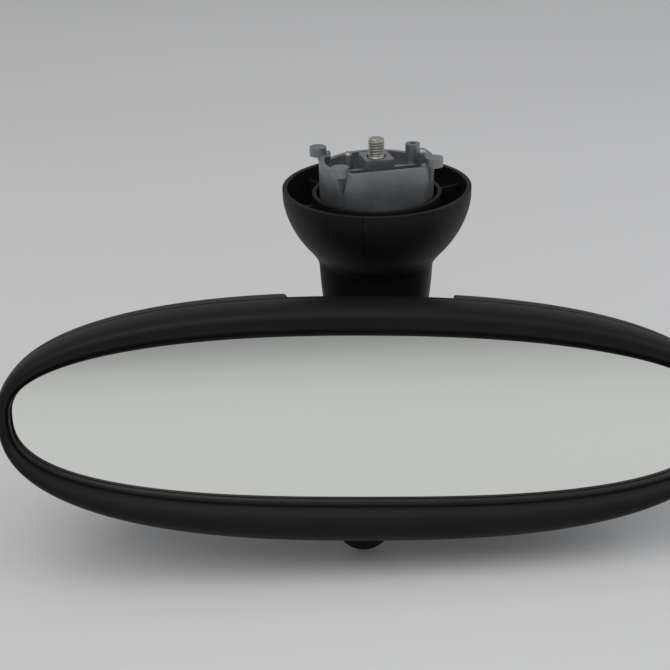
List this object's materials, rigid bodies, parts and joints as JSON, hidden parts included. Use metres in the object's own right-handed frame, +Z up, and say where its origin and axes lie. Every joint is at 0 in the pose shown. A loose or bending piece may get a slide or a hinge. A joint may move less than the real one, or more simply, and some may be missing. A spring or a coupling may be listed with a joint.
{
  "type": "interior rearview mirror",
  "caption": "Oval interior rearview mirror with a day and night glass, a ball-jointed head and a bell-shaped header mount.",
  "frame": {"origin": "on the header bolt's axis, on the seat at the top of the foot's block", "axes": "+Z up along the header bolt, +X along the head's width to the driver's right, -Y towards the driver"},
  "size_m": [0.2489, 0.1111, 0.1362],
  "materials": {
    "black_abs": "fine-grained satin black moulded plastic",
    "dark_nylon": "glass-filled black nylon, dull",
    "die_cast_zinc": "raw die-cast metal, satin grey with faint flow marks",
    "steel": "bright plated steel",
    "yellow_zinc": "yellowish zinc plating on steel",
    "mirror_glass": "silvered glass with a faint green tint",
    "white_nylon": "natural white nylon",
    "foam": "dark grey closed-cell foam",
    "black_rubber": "black rubber"
  },
  "bodies": {
    "mount": {"mounting_foot": "die_cast_zinc", "header_bolt": "yellow_zinc", "locating_pin_left": "die_cast_zinc", "locating_pin_right": "die_cast_zinc", "foot_screw_1": "steel", "foot_screw_2": "steel", "stalk_arm": "die_cast_zinc", "ball_stud": "steel", "cover_left": "black_abs", "cover_right": "black_abs"},
    "liner": {"ball_liner": "white_nylon"},
    "shell": {"friction_shell": "steel"},
    "bracket": {"pivot_bracket": "steel", "socket_body": "dark_nylon", "clamp_ring": "dark_nylon", "clamp_screw_1": "steel", "clamp_screw_2": "steel", "clamp_screw_3": "steel", "toggle_spring": "steel"},
    "head": {"front_bezel": "black_abs", "rear_cap": "black_abs", "prism_glass": "mirror_glass", "silver_backing": "mirror_glass", "foam_pad": "foam", "carrier_frame": "dark_nylon", "hinge_pin_left": "steel", "hinge_pin_right": "steel", "lever_pin": "steel", "cap_screw_1": "steel", "cap_screw_2": "steel", "cap_screw_3": "steel", "cap_screw_4": "steel", "bumper_left": "black_rubber", "bumper_right": "black_rubber"},
    "lever": {"flip_lever": "black_abs"}
  },
  "joints": [
    {"name": "ball_yaw", "type": "hinge", "parent": "mount", "child": "liner", "pos_m": [-0.00765, -0.03313, -0.0723], "axis": [0, 0, 1], "range_deg": [-12, 12]},
    {"name": "ball_pitch", "type": "hinge", "parent": "liner", "child": "shell", "pos_m": [-0.00765, -0.03313, -0.0723], "axis": [1, 0, 0], "range_deg": [-10, 10]},
    {"name": "ball_roll", "type": "hinge", "parent": "shell", "child": "bracket", "pos_m": [-0.00765, -0.03313, -0.0723], "axis": [0, 0.9781, -0.2079], "range_deg": [-6, 6]},
    {"name": "night_tilt", "type": "hinge", "parent": "bracket", "child": "head", "pos_m": [-0.00657, -0.046, -0.04915], "axis": [0.9985, -0.0112, -0.0529], "range_deg": [-4.5, 0]},
    {"name": "lever_turn", "type": "hinge", "parent": "head", "child": "lever", "pos_m": [-0.00932, -0.05032, -0.10029], "axis": [0.9985, -0.0112, -0.0529], "range_deg": [-24, 0]}
  ],
  "couplings": [
    {"joint": "lever_turn", "follows": "night_tilt", "ratio": 5.3}
  ]
}
